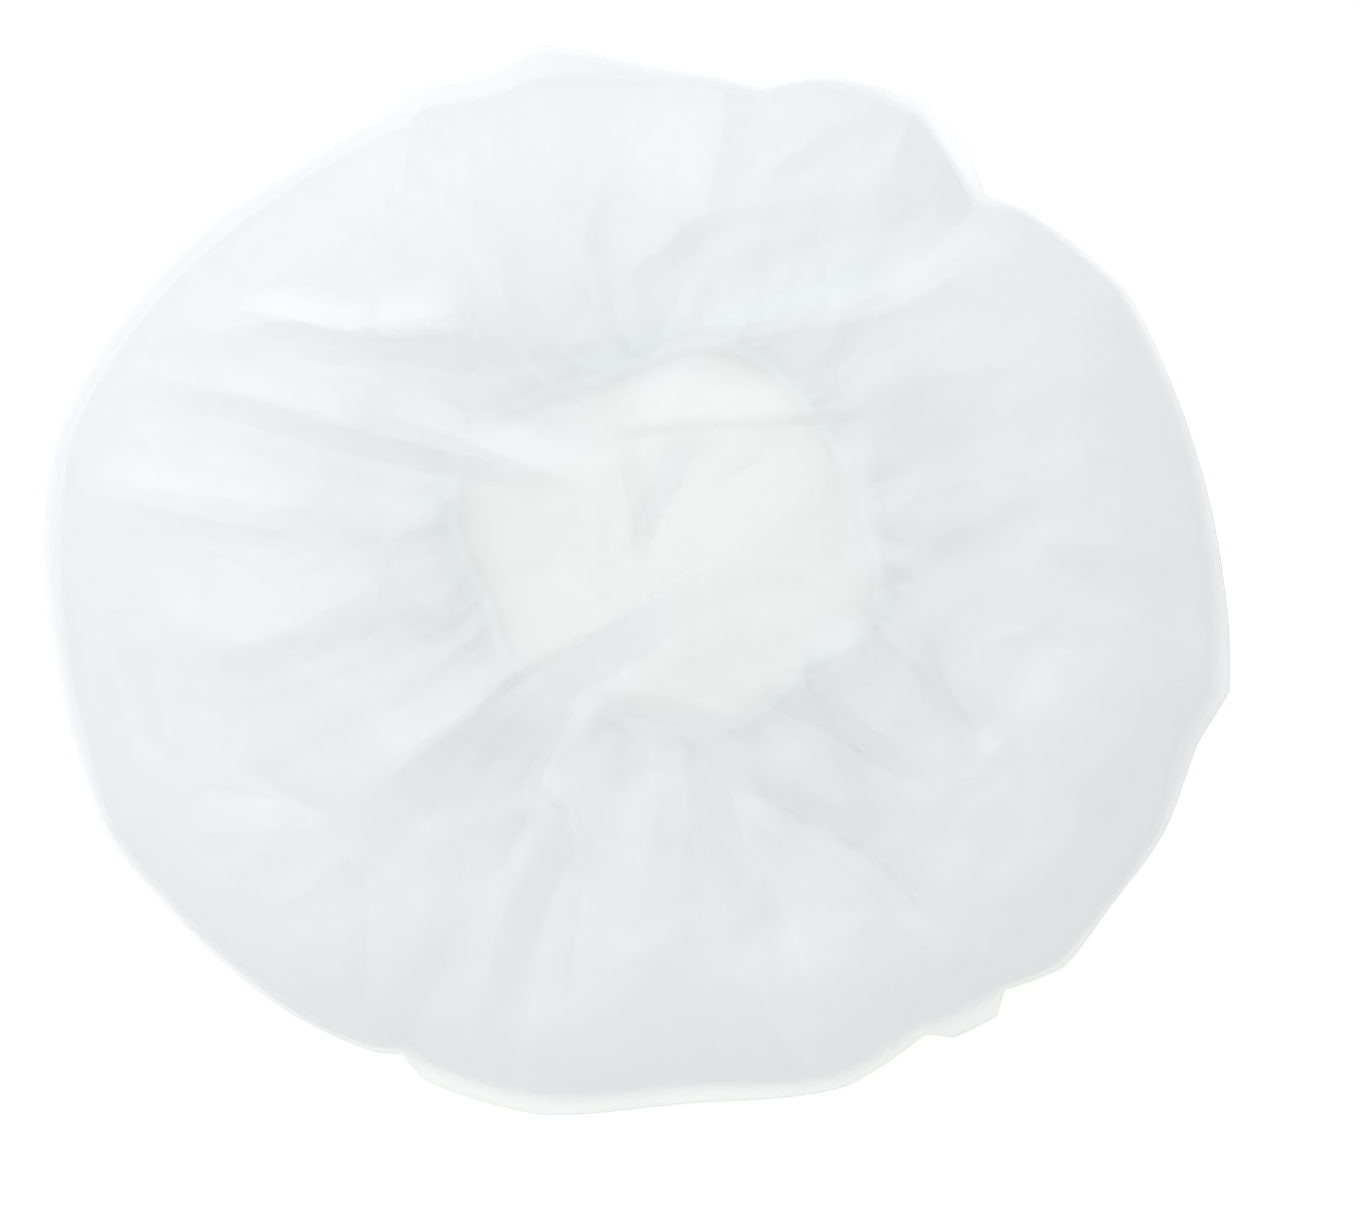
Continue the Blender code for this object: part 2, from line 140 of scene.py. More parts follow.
# The folds of the crown. A path is walked through points of the photograph, in its pixels. Rise is
# in millimetres, below 0 for a furrow. Left and right are how far the fold's flanks reach on the
# left and right hand of the walk at its start and at its end, in millimetres. Crisp is 1 for a sharp
# crest and 0 for a round one.
Fold = namedtuple("Fold", "name path rise left right crisp")
FOLDS = (
    Fold("long crease",
         ((316, 836), (372, 778), (430, 738), (488, 701), (530, 664), (590, 634), (640, 606), (706, 562)),
         3.4, (22, 14), (15, 8), 1.0),
    Fold("bright facet", ((240, 322), (300, 330), (372, 336), (430, 330), (486, 326)),
         2.2, (8, 10), (3.5, 4), 1.0),
    Fold("dark slope", ((560, 700), (500, 800), (470, 920)), -1.4, (14, 18), (14, 20), 0.1),
    Fold("crease below the middle", ((592, 678), (560, 728), (512, 800)), -1.6, (2.5, 4), (7, 12), 0.9),
    Fold("dark pocket", ((590, 716), (640, 742), (660, 790)), -1.8, (7, 7), (8, 9), 0.3),
    Fold("bottom left furrow", ((576, 812), (566, 868), (544, 920), (534, 975), (526, 1044)),
         -4.2, (7, 14), (8, 9), 0.7),
    Fold("bright hook", ((530, 776), (562, 790), (582, 822), (584, 880)), 1.0, (3, 3), (2.5, 3), 0.9),
    Fold("bottom dome", ((640, 776), (645, 880), (640, 1020)), 2.4, (16, 22), (12, 18), 0.0),
    Fold("bottom right furrow",
         ((606, 704), (677, 730), (722, 776), (742, 834), (760, 884), (778, 935), (784, 1000)),
         -3.0, (5, 12), (7, 9), 0.7),
    Fold("slanting furrow", ((704, 744), (778, 802), (836, 832), (876, 858), (924, 908), (975, 938)),
         -3.2, (5, 7), (5, 7), 0.6),
    Fold("upper slanting furrow", ((752, 698), (823, 726), (874, 762), (940, 792)),
         -2.5, (5, 6), (4, 6), 0.6),
    Fold("bright band", ((590, 690), (650, 690), (716, 706), (770, 730)), 1.5, (7, 5), (5, 5), 0.6),
    Fold("tongue", ((772, 668), (826, 656), (872, 630)), 1.3, (7, 5), (8, 9), 0.9),
    Fold("right curved furrow", ((920, 622), (936, 675), (960, 718), (990, 748)),
         -3.2, (9, 6), (6, 5), 0.7),
    Fold("right upper furrow", ((840, 608), (924, 570), (975, 540), (1070, 496)),
         -0.9, (5, 4), (9, 9), 0.5),
    Fold("right arc furrow", ((1024, 566), (1100, 584), (1150, 612), (1184, 650), (1204, 700)),
         -4.0, (5, 16), (11, 6), 0.7),
    Fold("right dome", ((1010, 660), (1080, 730), (1110, 780)), 2.4, (18, 14), (16, 18), 0.0),
    Fold("dark right shoulder", ((1150, 410), (1186, 500), (1204, 590), (1200, 700)),
         -3.6, (5, 5), (15, 17), 0.2),
    Fold("lower right shoulder", ((1004, 972), (1056, 946), (1110, 870), (1152, 790), (1190, 706)),
         -3.0, (13, 15), (3, 3), 0.2),
    Fold("right dimple", ((1080, 808), (1130, 808), (1180, 792)), -3.4, (7, 7), (11, 9), 0.4),
    Fold("lower right facet", ((1002, 910), (1012, 872), (1048, 846), (1084, 838)),
         1.0, (6, 7), (12, 10), 0.7),
    Fold("small lower right peak", ((950, 830), (978, 800), (1010, 786)), 0.5, (4, 4), (5, 5), 0.8),
    Fold("corner dimple", ((985, 942), (1015, 962), (1040, 974)), -2.6, (7, 7), (7, 7), 0.1),
    Fold("dark plain top", ((836, 396), (930, 380), (1030, 378), (1136, 400)),
         3.4, (11, 12), (18, 16), 0.7),
    Fold("right streak", ((850, 524), (910, 500), (975, 482), (1060, 462), (1160, 446)),
         1.4, (5, 12), (9, 16), 0.8),
    Fold("upper right step", ((716, 74), (716, 110), (708, 176), (684, 236), (640, 282)),
         1.4, (12, 6), (15, 10), 0.9),
    Fold("long upper right ridge", ((606, 292), (652, 266), (704, 226), (780, 212), (872, 200), (934, 172)),
         1.8, (7, 6), (5, 5), 0.8),
    Fold("thin upper crease", ((738, 203), (790, 166), (842, 128), (900, 104)),
         1.8, (3, 4), (3, 6), 0.95),
    Fold("upper right dark facet", ((890, 184), (898, 144), (926, 108)), 1.9, (4, 4), (9, 8), 0.9),
    Fold("gutter", ((716, 300), (800, 262), (880, 240), (944, 208)), -1.5, (6, 5), (4, 4), 0.5),
    Fold("upper right bright band",
         ((656, 348), (720, 334), (800, 322), (870, 308), (926, 280), (1026, 216)),
         2.9, (6, 7), (12, 10), 0.75),
    Fold("shoulder fold", ((960, 300), (1010, 250), (1046, 226)), 1.2, (4, 4), (8, 9), 0.7),
    Fold("middle crease", ((612, 446), (650, 440), (696, 433), (810, 429), (876, 420)),
         -0.9, (2.2, 2.2), (9, 10), 0.9),
    Fold("facet ridge", ((606, 450), (628, 500), (634, 566)), 1.3, (6, 5), (5, 4), 0.9),
    Fold("facet furrow", ((704, 438), (676, 498), (638, 566)), -1.4, (6, 5), (7, 5), 0.9),
    Fold("right middle bulge", ((770, 470), (780, 540), (770, 600)), 1.0, (14, 14), (14, 14), 0.0),
    Fold("upper left ridge",
         ((122, 340), (170, 330), (230, 338), (300, 330), (357, 342), (430, 338), (480, 350), (560, 340)),
         3.0, (11, 15), (8, 6), 0.8),
    Fold("second left ridge", ((106, 366), (200, 392), (280, 410), (344, 430), (488, 464), (608, 494)),
         2.3, (5, 9), (5, 5), 0.85),
    Fold("wiggle above", ((356, 304), (360, 276), (374, 252), (392, 240)), -0.9, (5, 5), (4, 3), 0.8),
    Fold("small dark bend", ((392, 260), (424, 258), (448, 234)), -0.6, (3, 3), (3, 3), 0.8),
    Fold("pleat crease", ((410, 96), (406, 130), (403, 180), (398, 232)), 2.4, (12, 8), (5, 3), 0.95),
    Fold("edge furrow", ((292, 180), (278, 196), (252, 242)), -3.0, (4, 3), (4, 4), 0.7),
    Fold("fine top crease", ((618, 166), (604, 200), (588, 246), (596, 284)),
         0.4, (3, 3), (2.5, 3), 0.9),
    Fold("yellow streak", ((520, 372), (570, 366), (630, 350)), -0.5, (3, 3), (5, 5), 0.6),
    Fold("left swell", ((84, 486), (180, 494), (270, 504), (352, 520)), 1.9, (9, 8), (9, 9), 0.4),
    Fold("left wedge top", ((376, 522), (420, 516), (468, 510)), 1.4, (4, 4), (9, 8), 0.8),
    Fold("left wedge edge", ((384, 518), (400, 560), (432, 606), (478, 640)),
         1.8, (12, 9), (5, 6), 0.8),
    Fold("left slanting ridge", ((206, 660), (280, 636), (344, 608), (404, 574)),
         1.9, (13, 7), (8, 8), 0.75),
    Fold("thin left crease", ((60, 626), (110, 616), (150, 604)), 0.8, (3, 3), (3, 3), 0.9),
    Fold("left dark streak", ((140, 646), (150, 700), (164, 764)), -1.4, (5, 5), (6, 5), 0.5),
    Fold("lower left peak", ((190, 824), (250, 828), (306, 822)), 0.8, (8, 7), (5, 5), 0.8),
    Fold("lower left furrow", ((258, 752), (286, 782), (318, 800), (352, 812)),
         -1.1, (4, 4), (4, 5), 0.8),
    Fold("streak ridge", ((280, 910), (330, 872), (376, 836)), 0.9, (5, 5), (6, 5), 0.85),
    Fold("second streak", ((232, 870), (262, 850), (300, 846)), 0.7, (4, 4), (4, 4), 0.85),
    Fold("vertical furrow", ((376, 868), (371, 940), (366, 1034)), -1.3, (4.5, 4), (4, 4), 0.8),
    Fold("vertical swell", ((440, 800), (436, 880), (424, 980)), 1.4, (8, 8), (8, 8), 0.2),
    Fold("bottom flat ridge", ((838, 900), (858, 950), (880, 1010)), 1.3, (9, 8), (7, 7), 0.5),
    Fold("upper left roll", ((100, 440), (164, 310), (262, 210), (390, 136)),
         1.9, (8, 8), (24, 20), 0.3),
)

# Painted highlights: strokes of the crown whose colour is made whiter where the facets of its folds catch
# the light. Path, left and right are as a fold's, with a sharp right side unless it is given, and share is
# 1 for film as white as the gathers.
SHARP_SIDE = (2.2, 2.2)
Stroke = namedtuple("Stroke", "name path share left right", defaults=(SHARP_SIDE,))
HIGHLIGHT_STROKES = (
    Stroke("upper left piece", ((228, 306), (300, 321), (356, 334), (398, 336)),
         0.9, (5, 9)),
    Stroke("second upper left piece", ((366, 332), (402, 336), (440, 334), (500, 322)),
         0.9, (9, 13), (2.2, 3)),
    Stroke("streak under the dark band", ((210, 382), (300, 404), (384, 428)),
         0.45, (5, 5)),
    Stroke("long light band", ((366, 408), (450, 432), (520, 458), (624, 500)),
         0.7, (9, 8)),
    Stroke("left glow", ((70, 478), (160, 500), (260, 522), (380, 538)), 0.45, (9, 11), (2.4, 2.4)),
    Stroke("above the long crease", ((350, 800), (430, 740), (500, 692), (590, 633)),
         0.5, (20, 12)),
    Stroke("lower left piece", ((196, 786), (250, 795), (322, 810)), 0.38, SHARP_SIDE, (7, 10)),
    Stroke("beside the pleat crease", ((406, 112), (404, 150), (398, 222)), 0.3, SHARP_SIDE, (14, 16)),
    Stroke("top glow", ((716, 50), (716, 130), (690, 250)), 0.45, SHARP_SIDE, (40, 22)),
    Stroke("bright triangle", ((600, 426), (690, 422), (760, 419), (860, 412)),
         0.85, (11, 14)),
    Stroke("tongue", ((756, 684), (820, 668), (880, 632)), 0.5, (8, 6)),
    Stroke("upper right bright band",
           ((630, 360), (720, 346), (800, 330), (870, 316), (940, 282), (1050, 204)),
           0.75, (10, 16)),
    Stroke("hook", ((520, 768), (556, 780), (580, 812), (584, 900)), 0.35, (5, 4)),
    Stroke("bottom dome", ((600, 800), (590, 900), (570, 1030)), 0.22, (30, 34)),
    Stroke("beside the bottom right furrow", ((764, 850), (792, 920), (816, 1000)),
         0.35, (16, 18)),
    Stroke("lower left glow", ((140, 760), (230, 880), (380, 980)), 0.25, (20, 20), (20, 20)),
    Stroke("right dome", ((968, 640), (990, 700), (1040, 770)), 0.15, (24, 24)),
)

# Strokes of the crown where the film looks a little yellow. Share is 1 for as warm as the opening.
TINGES = (
    Stroke("along the upper right band", ((640, 352), (760, 322), (860, 286), (936, 250)),
         0.75, (6, 9), (7, 6)),
    Stroke("above the opening", ((540, 392), (600, 376), (650, 352), (720, 326)), 0.85, (7, 7), (6, 6)),
    Stroke("below the opening", ((786, 776), (870, 800), (985, 818)), 0.7, (7, 8), (8, 8)),
    Stroke("tongue", ((770, 672), (830, 656), (884, 626)), 0.85, (8, 6), (5, 5)),
    Stroke("top", ((584, 286), (590, 246), (606, 200), (622, 160)), 0.55, (5, 5), (6, 8)),
)

# Strokes of the crown where a flap of the film lies over the opening, and hides its warm look and some of
# its light; the darkening is partly painted shade on the shaded sides of folds there.
COVERS_COOLING = 0.75  # share of the warm look that they hide
FLAPS_AND_PAINTED_SHADE = (
    Stroke("flap below the long crease", ((460, 732), (560, 664), (630, 616), (724, 556)),
           0.85, (1.6, 1.6), (14, 20)),
    Stroke("flap over the middle", ((694, 436), (668, 490), (634, 560)), 0.8, (3, 3), (7, 3)),
    Stroke("film over the upper left", ((430, 482), (530, 462), (630, 448)), 0.7, (12, 11), (6, 6)),
    Stroke("fold over the right edge", ((846, 420), (852, 520), (876, 610)), 0.6, (5, 5), (5, 5)),
    Stroke("folds over the lower right", ((700, 590), (800, 612), (884, 664)), 0.5, (7, 6), (8, 8)),
)

# Faint whiter streaks scattered over the crown by seeded chance, fanning out from the opening. Stray
# is how far in radians a streak turns from that, and the ranges of length and flank are in millimetres.
Streaks = namedtuple("Streaks", "count reach length share flank stray seed")
STREAKS = Streaks(80, (0.44, 0.86), (16, 50), (0.05, 0.20), (5.0, 14.0), 0.30, 21)
STREAK_SHARP_SIDE = 0.0028  # metres in which a streak ends on its sharp side

STROKE_EDGE = 1.5  # how many times as steep as its flank a stroke's edge is
STROKE_TAPER = 0.30  # share of a stroke's length over which it appears at each end

CRISP_POWER = 1.08  # of what is left of a crisp flank; 1 would be a flat facet
FOLD_TAPER = 0.26  # share of a fold's length over which it rises at each end
PATH_SAMPLES = 28  # points that a fold's curve is measured at

# The pleats of the underside. Reach is the share of the way out from the hem to the rim where a
# rank of pleats has died away, and wander how far, in radians, they stray from even spacing.
Pleats = namedtuple("Pleats", "name count rise reach wander")
PLEATS = (
    Pleats("long", 22, 4.6, 0.97, 0.9),
    Pleats("middling", 41, 3.4, 0.86, 1.3),
    Pleats("short", 73, 2.6, 0.56, 1.1),
)
RANK_SHIFT = 0.7  # radians by which each rank's straying is shifted from the last one's

# The head opening from above, as the slack elastic lies. Angle is the turn round its ellipse, and
# reach a share of the ellipse's own.
OPENING_WIDTH, OPENING_DEPTH = 0.084, 0.074
OPENING_MIDDLE = (0.006, 0.0095)
OpeningPoint = namedtuple("OpeningPoint", "name angle reach")
OPENING = (
    OpeningPoint("right", 359, 0.97),
    OpeningPoint("upper right", 382, 0.93),
    OpeningPoint("upper right edge", 402, 0.94),
    OpeningPoint("top corner foot", 420, 1.02),
    OpeningPoint("top corner", 437, 1.05),
    OpeningPoint("top edge", 458, 0.92),
    OpeningPoint("top left edge", 477, 0.89),
    OpeningPoint("upper left corner", 512, 1.05),
    OpeningPoint("left", 535, 1.00),
    OpeningPoint("lower left edge", 562, 0.91),
    OpeningPoint("lower left", 583, 0.99),
    OpeningPoint("bottom edge", 606, 0.97),
    OpeningPoint("bottom corner", 639, 1.08),
    OpeningPoint("lower right corner", 658, 1.04),
    OpeningPoint("lower right edge", 676, 0.95),
    OpeningPoint("right corner", 697, 1.08),
)
HEM_INSET = 0.0024  # metres from the opening's edge out to the middle of the elastic
HEM_WRAP = (285, 60)  # degrees between which the film runs round the elastic, from below inwards
ALLOWANCE = (0.945, 0.925, 0.905)  # ways in to the hem at which its loose allowance lies
ALLOWANCE_LAYERS = 3  # layers of film by which that lies above the underside
EDGE_STEP = 0.009  # radians either way in which the opening's edge is taken to run straight

# The underside, at ways in from the lip's root, 0, to the hem, 1
UNDERSIDE_REACH = (0.04, 0.955)  # of its first and last ring
PLEAT_GROWTH = 0.75  # share of a rank's length over which its pleats rise
GATHERED_FROM, GATHERED_OVER = 0.84, 0.16  # where the hem begins to press the pleats down
GATHERED_SHARE = 0.50  # of their height that it takes
LEAN_WAVES, LEAN_SHIFT = 4, 0.5  # how often round the circle the pleats' lean swings

# The section of the lip, from its root out over the rim and back below. Inset is a share of the
# lip's width in from the rim, and height a share of the lip's own.
LipRing = namedtuple("LipRing", "inset height")
LIP_TOP = (LipRing(0.66, 0.95), LipRing(0.30, 1.00), LipRing(0.05, 0.95), LipRing(0.0, 0.50))
LIP_UNDERSIDE = (LipRing(0.05, 0.05), LipRing(0.4, 0.0), LipRing(1.0, 0.0))
LIP_WAVES = ((17, 2.1, 0.4), (5, 1.7, 1.9))  # the ripples whose product lifts the lip
FOLDS_END, FOLDS_FADE = 0.90, 0.10  # way out on the crown where the folds begin to fade into the lip

# The lip's colour. It is whitest at the left, a painted highlight on the side the light falls on, and warm
# along its lower run.
LIP_WHITEST, LIP_CONTRAST = math.radians(205), 0.4
LOW_MIDDLE, LOW_STEEPNESS, LOW_START = math.radians(278), 2.2, 0.9
LOW_SHARE, LOW_FADE = 0.9, 0.001  # of the lip's width that is warm, and metres in which that ends

# Painted light: a whiter ring of the crown round the opening's edge, lifting the shade of the hollow round
# the hem, in ways out of which the edge is at 1
RING_START, RING_RISE, RING_END, RING_FALL = 0.92, 0.16, 1.15, 0.45

# The warm look over the opening and the faint halo round it. Edge is the way out where it begins to
# end, fade over how long, and wobble how far the clouds move its edge.
Warmth = namedtuple("Warmth", "share edge fade wobble")
OVER_OPENING = Warmth(0.74, 0.78, 0.36, 0.3)
HALO = Warmth(0.26, 1.0, 1.0, 0.9)
HALO_RISE = 0.25  # how much further the halo reaches above the opening than below
LOWER_WARMER = 0.3  # how much of the warm look goes from the bottom of the opening to its top
PATCH_START, PATCH_FADE, PATCH_SHARE = 0.02, 0.16, 0.55  # of the clouds that look warm elsewhere

# Slow sines that cross at chance angles, for an uneven look. Pace is in radians a metre.
Clouds = namedtuple("Clouds", "waves pace seed")
CLOUDS = Clouds(14, (60, 320), 8)

# Flat facets of the crown: the length of their waves in metres, and their share of the rise
FACETS = ((0.052, 1.0), (0.031, 0.55), (0.017, 0.26))
FACET_WAYS = 3  # ways in which the waves of each length run
FACET_BEND, FACET_BEND_PACE = 0.35, 2.1  # how far, and how quickly along a wave, it is bent
FACET_PATCHES = (0.5, 0.9, 1.3, 0.9)  # even share, swing, and pace along and across of their fading

# Small creases scattered over the crown by seeded chance. The ranges are in millimetres, and stray is
# how far in radians a crease may turn from pointing at the middle.
Creases = namedtuple("Creases", "name count length rise flank crisp stray seed")
CREASES = (
    Creases("dents", 46, (14, 34), (-0.9, 0.9), (4, 9), 0.35, math.pi, 5),
    Creases("creases", 160, (8, 30), (-0.45, 0.46), (1.8, 4.5), 0.95, 0.7, 11),
)
CREASES_AREA = (0.02, 0.9)  # least and greatest share of the disc inside a crease's middle
CREASES_REACH = 0.9  # of half the spread, for that disc
CREASE_BEND = 0.12  # of half a crease's length, sideways at its ends

# The stage. The table lies a little below the film, and its mottling is a little darker.
TABLE_DROP, MOTTLE = 0.0003, 0.985
Lamp = namedtuple("Lamp", "name size place")
KEY_LIGHT = Lamp("key light", 1.8, (-0.85, 1.22, 1.15))
TOP_LIGHT = Lamp("top light", 0.9, (-0.28, 0.26, 1.28))
SENSOR_WIDTH = 36.0  # millimetres
BOUNCES = {
    "max_bounces": 6, "diffuse_bounces": 4, "transmission_bounces": 5, "transparent_max_bounces": 16
}

# The elastic's tube, and how much thinner it is between its ribs
TUBE_ROUNDS, TUBE_SIDES, TUBE_RIBS = 720, 20, 180
RIB_DEPTH = 0.05


def hermite(t, gap, start, end, start_slope, end_slope):
    """Cubic from start to end over a gap, with the two slopes at its ends; t runs from 0 to 1."""
    return (
        (1 + 2 * t) * (1 - t) ** 2 * start
        + t * (1 - t) ** 2 * gap * start_slope
        + t**2 * (3 - 2 * t) * end
        + t**2 * (t - 1) * gap * end_slope
    )


def eased(t):
    """0 below 0, 1 above 1, and 3t^2 - 2t^3 between."""
    t = np.clip(t, 0.0, 1.0)
    return t * t * (3 - 2 * t)


def round_table(angles, values, crisp, at):
    """Cubic round the circle through a table's values, at the given angles in degrees. The slope at
    a point is the chord of its neighbours, or, as far as it is crisp, that of its own segment."""
    count = len(angles)
    turned = (at - angles[0]) % 360 + angles[0]
    here = np.clip(np.searchsorted(angles, turned, side="right") - 1, 0, count - 1)

    def point(step):
        """Angle and value of the table's row that is a number of steps on from here."""
        i = here + step
        return angles[i % count] + 360 * (i // count), values[i % count]

    (a0, r0), (a1, r1), (a2, r2), (a3, r3) = (point(step) for step in (-1, 0, 1, 2))
    chord = (r2 - r1) / (a2 - a1)
    sharp_start, sharp_end = crisp[here], crisp[(here + 1) % count]
    start = (1 - sharp_start) * (r2 - r0) / (a2 - a0) + sharp_start * chord
    end = (1 - sharp_end) * (r3 - r1) / (a3 - a1) + sharp_end * chord
    return hermite((turned - a1) / (a2 - a1), a2 - a1, r1, r2, start, end)


def column(table, name):
    """One column of a table of named tuples."""
    return np.array([getattr(row, name) for row in table])


def rim(turn):
    """Distance of the outline from the middle at angles in radians: a cubic through its table."""
    angles, reach, crisp = (column(OUTLINE, name) for name in ("angle", "reach", "crisp"))
    return round_table(angles, reach, crisp, np.degrees(turn)) * HALF_SPREAD


def straight_round(name, turn):
    """A column of the outline's table at angles in radians, with straight runs between its points."""
    angles, values = column(OUTLINE, "angle"), column(OUTLINE, name)
    return round_table(angles, values, np.ones(len(OUTLINE)), np.degrees(turn))


def lip_width(turn, width):
    """Width of the pressed lip at angles in radians: the outline table's shares of the full width."""
    return straight_round("lip", turn) * width


def crown_profile(reach):
    """Height share of the crown at shares of the way out: a cubic through the crown's rings whose
    slope at each ring is the weighted harmonic mean of the chords beside it, so that it never
    swings past a ring."""
    x, y = column(CROWN, "reach"), column(CROWN, "rise")
    chord = np.diff(y) / np.diff(x)
    before, after = chord[:-1], chord[1:]
    same_way = before * after > 0
    mean = np.where(same_way, 2 * before * after / np.where(same_way, before + after, 1.0), 0.0)
    slope = np.concatenate([[0.0], mean, [chord[-1] * ROOT_STEEPNESS]])
    i = np.clip(np.searchsorted(x, reach, side="right") - 1, 0, len(x) - 2)
    gap = x[i + 1] - x[i]
    return hermite((reach - x[i]) / gap, gap, y[i], y[i + 1], slope[i], slope[i + 1])


def photo_place(points):
    """Where photographed points lie, in metres from the middle of the cap."""
    return (np.array(points, dtype=float) - PHOTO_MIDDLE) * (PHOTO_PIXEL, -PHOTO_PIXEL)


def fold_curve(path):
    """Even samples, in metres, of a Catmull-Rom curve through a path's photographed points."""
    points = photo_place(path)
    ends = np.vstack([2 * points[0] - points[1], points, 2 * points[-1] - points[-2]])
    t = np.linspace(0, len(points) - 1, PATH_SAMPLES)
    i = np.clip(t.astype(int), 0, len(points) - 2)
    t = (t - i)[:, None]
    p0, p1, p2, p3 = (ends[i + k] for k in range(4))
    return p1 + 0.5 * t * (p2 - p0 + t * (2 * p0 - 5 * p1 + 4 * p2 - p3 + t * (3 * (p1 - p2) + p3 - p0)))


def beside(place, line):
    """For places beside a fold's or a stroke's curve: which they are, what share of the flank is left
    there, from 1 on the curve to 0 at the flank's reach, and the nearest point's share of the way."""
    curve = fold_curve(line.path)
    margin = max(*line.left, *line.right) / 1000
    near = np.all((place > curve.min(axis=0) - margin) & (place < curve.max(axis=0) + margin), axis=1)
    place = place[near]
    start, run = curve[:-1], np.diff(curve, axis=0)
    offset = place[:, None, :] - start[None, :, :]
    share = np.clip((offset * run).sum(axis=2) / (run * run).sum(axis=1), 0, 1)
    away = offset - share[:, :, None] * run[None, :, :]
    distance = np.hypot(away[:, :, 0], away[:, :, 1])
    nearest = distance.argmin(axis=1)
    row = np.arange(len(place))
    distance, share, offset = (values[row, nearest] for values in (distance, share, offset))
    run = run[nearest]
    on_left = run[:, 0] * offset[:, 1] - run[:, 1] * offset[:, 0] > 0
    along = (nearest + share) / len(start)
    left, right = (side[0] + (side[1] - side[0]) * along for side in (line.left, line.right))
    flank = np.where(on_left, left, right) / 1000
    return near, np.clip(1 - distance / flank, 0, 1), along


def fold_height(place, fold):
    """What one fold adds to the height at places, in metres. It is the rise times a profile across
    the curve, which falls from 1 at the crest to 0 at the flank's reach, as a low power of what is
    left where the crest is crisp and as an eased step where it is round, times an ease at both ends."""
    near, left_over, along = beside(place, fold)
    across = fold.crisp * left_over**CRISP_POWER + (1 - fold.crisp) * eased(left_over)
    height = np.zeros(len(place))
    height[near] = fold.rise / 1000 * across * eased(along / FOLD_TAPER) * eased((1 - along) / FOLD_TAPER)
    return height


def turned_places(place, tilt):
    """Places along a line that runs through the origin at a tilt, and to the left of it."""
    x, y = place[:, 0], place[:, 1]
    return x * math.cos(tilt) + y * math.sin(tilt), y * math.cos(tilt) - x * math.sin(tilt)


def strokes_share(place, strokes):
    """The greatest of the strokes' shares at places, from 0 to 1, each times a flat-topped step
    across its curve and an ease at both ends."""
    total = np.zeros(len(place))
    for stroke in strokes:
        near, left_over, along = beside(place, stroke)
        ends = eased(along / STROKE_TAPER) * eased((1 - along) / STROKE_TAPER)
        total[near] = np.maximum(total[near], stroke.share * np.minimum(left_over * STROKE_EDGE, 1) * ends)
    return total


def streaks_share(place):
    """The greatest of the scattered streaks' shares at places. Each is its share times what is left
    of the flank on one side of a straight line, a steep end on the line's other side, and a parabola
    along the line."""
    chance = np.random.default_rng(STREAKS.seed)
    total = np.zeros(len(place))
    for _ in range(STREAKS.count):
        turn = chance.uniform(0, 2 * math.pi)
        reach = chance.uniform(*STREAKS.reach) * HALF_SPREAD
        tilt = turn + STREAKS.stray * chance.normal()
        half, flank = chance.uniform(*STREAKS.length) / 2000, chance.uniform(*STREAKS.flank) / 1000
        share = chance.uniform(*STREAKS.share)
        offset = place - OPENING_MIDDLE - reach * np.array([math.cos(turn), math.sin(turn)])
        along, away = turned_places(offset, tilt)
        along = along / half
        across = np.clip(1 - away / flank, 0, 1) * np.clip(1 + away / STREAK_SHARP_SIDE, 0, 1)
        total = np.maximum(total, share * across * np.clip(1 - along * along, 0, 1))
    return total


def folds_height(place):
    """The sum of all folds at places, in metres."""
    return sum(fold_height(place, fold) for fold in FOLDS)


def crumple_height(place, film):
    """Flat facets with sharp edges between them: the sum, over three sizes, of two triangle waves
    that cross at chance angles, bent by slow sines and fading in and out in patches."""
    chance = np.random.default_rng(film.crumple_seed)
    total = np.zeros(len(place))
    even, swing, pace_along, pace_across = FACET_PATCHES
    for length, rise in FACETS:
        for _ in range(FACET_WAYS):
            tilt, shift, bend, patch = chance.uniform(0, 2 * math.pi, 4)
            across, along = turned_places(place, tilt)
            phase = across / length + shift
            phase = phase + FACET_BEND * np.sin(along / length * FACET_BEND_PACE + bend)
            wave = 2 * np.abs(phase - np.floor(phase) - 0.5)
            patches = np.sin(along / length * pace_along + patch)
            patches = patches * np.sin(across / length * pace_across + bend)
            total += rise * wave * eased(even + swing * patches)
    return total * film.crumple


def creases_height(place):
    """The sum of the scattered creases at places, in metres. Each is a short straight crest: the
    rise times what is left of the flank, raised to a power where it is crisp or eased where it is
    round, times a parabola along the crest."""
    total = np.zeros(len(place))
    for kind in CREASES:
        chance = np.random.default_rng(kind.seed)
        for _ in range(kind.count):
            middle_turn = chance.uniform(0, 2 * math.pi)
            tilt = middle_turn + kind.stray * chance.uniform(-1, 1)
            middle_reach = math.sqrt(chance.uniform(*CREASES_AREA)) * CREASES_REACH * HALF_SPREAD
            half = chance.uniform(*kind.length) / 2000
            rise, flank = chance.uniform(*kind.rise) / 1000, chance.uniform(*kind.flank) / 1000
            offset = place - middle_reach * np.array([math.cos(middle_turn), math.sin(middle_turn)])
            along, away = turned_places(offset, tilt)
            along = along / half
            bend = CREASE_BEND * half * along * along
            left_over = np.clip(1 - np.abs(away - bend) / flank, 0, 1)
            across = kind.crisp * left_over**CRISP_POWER + (1 - kind.crisp) * eased(left_over)
            total += rise * across * np.clip(1 - along * along, 0, 1)
    return total


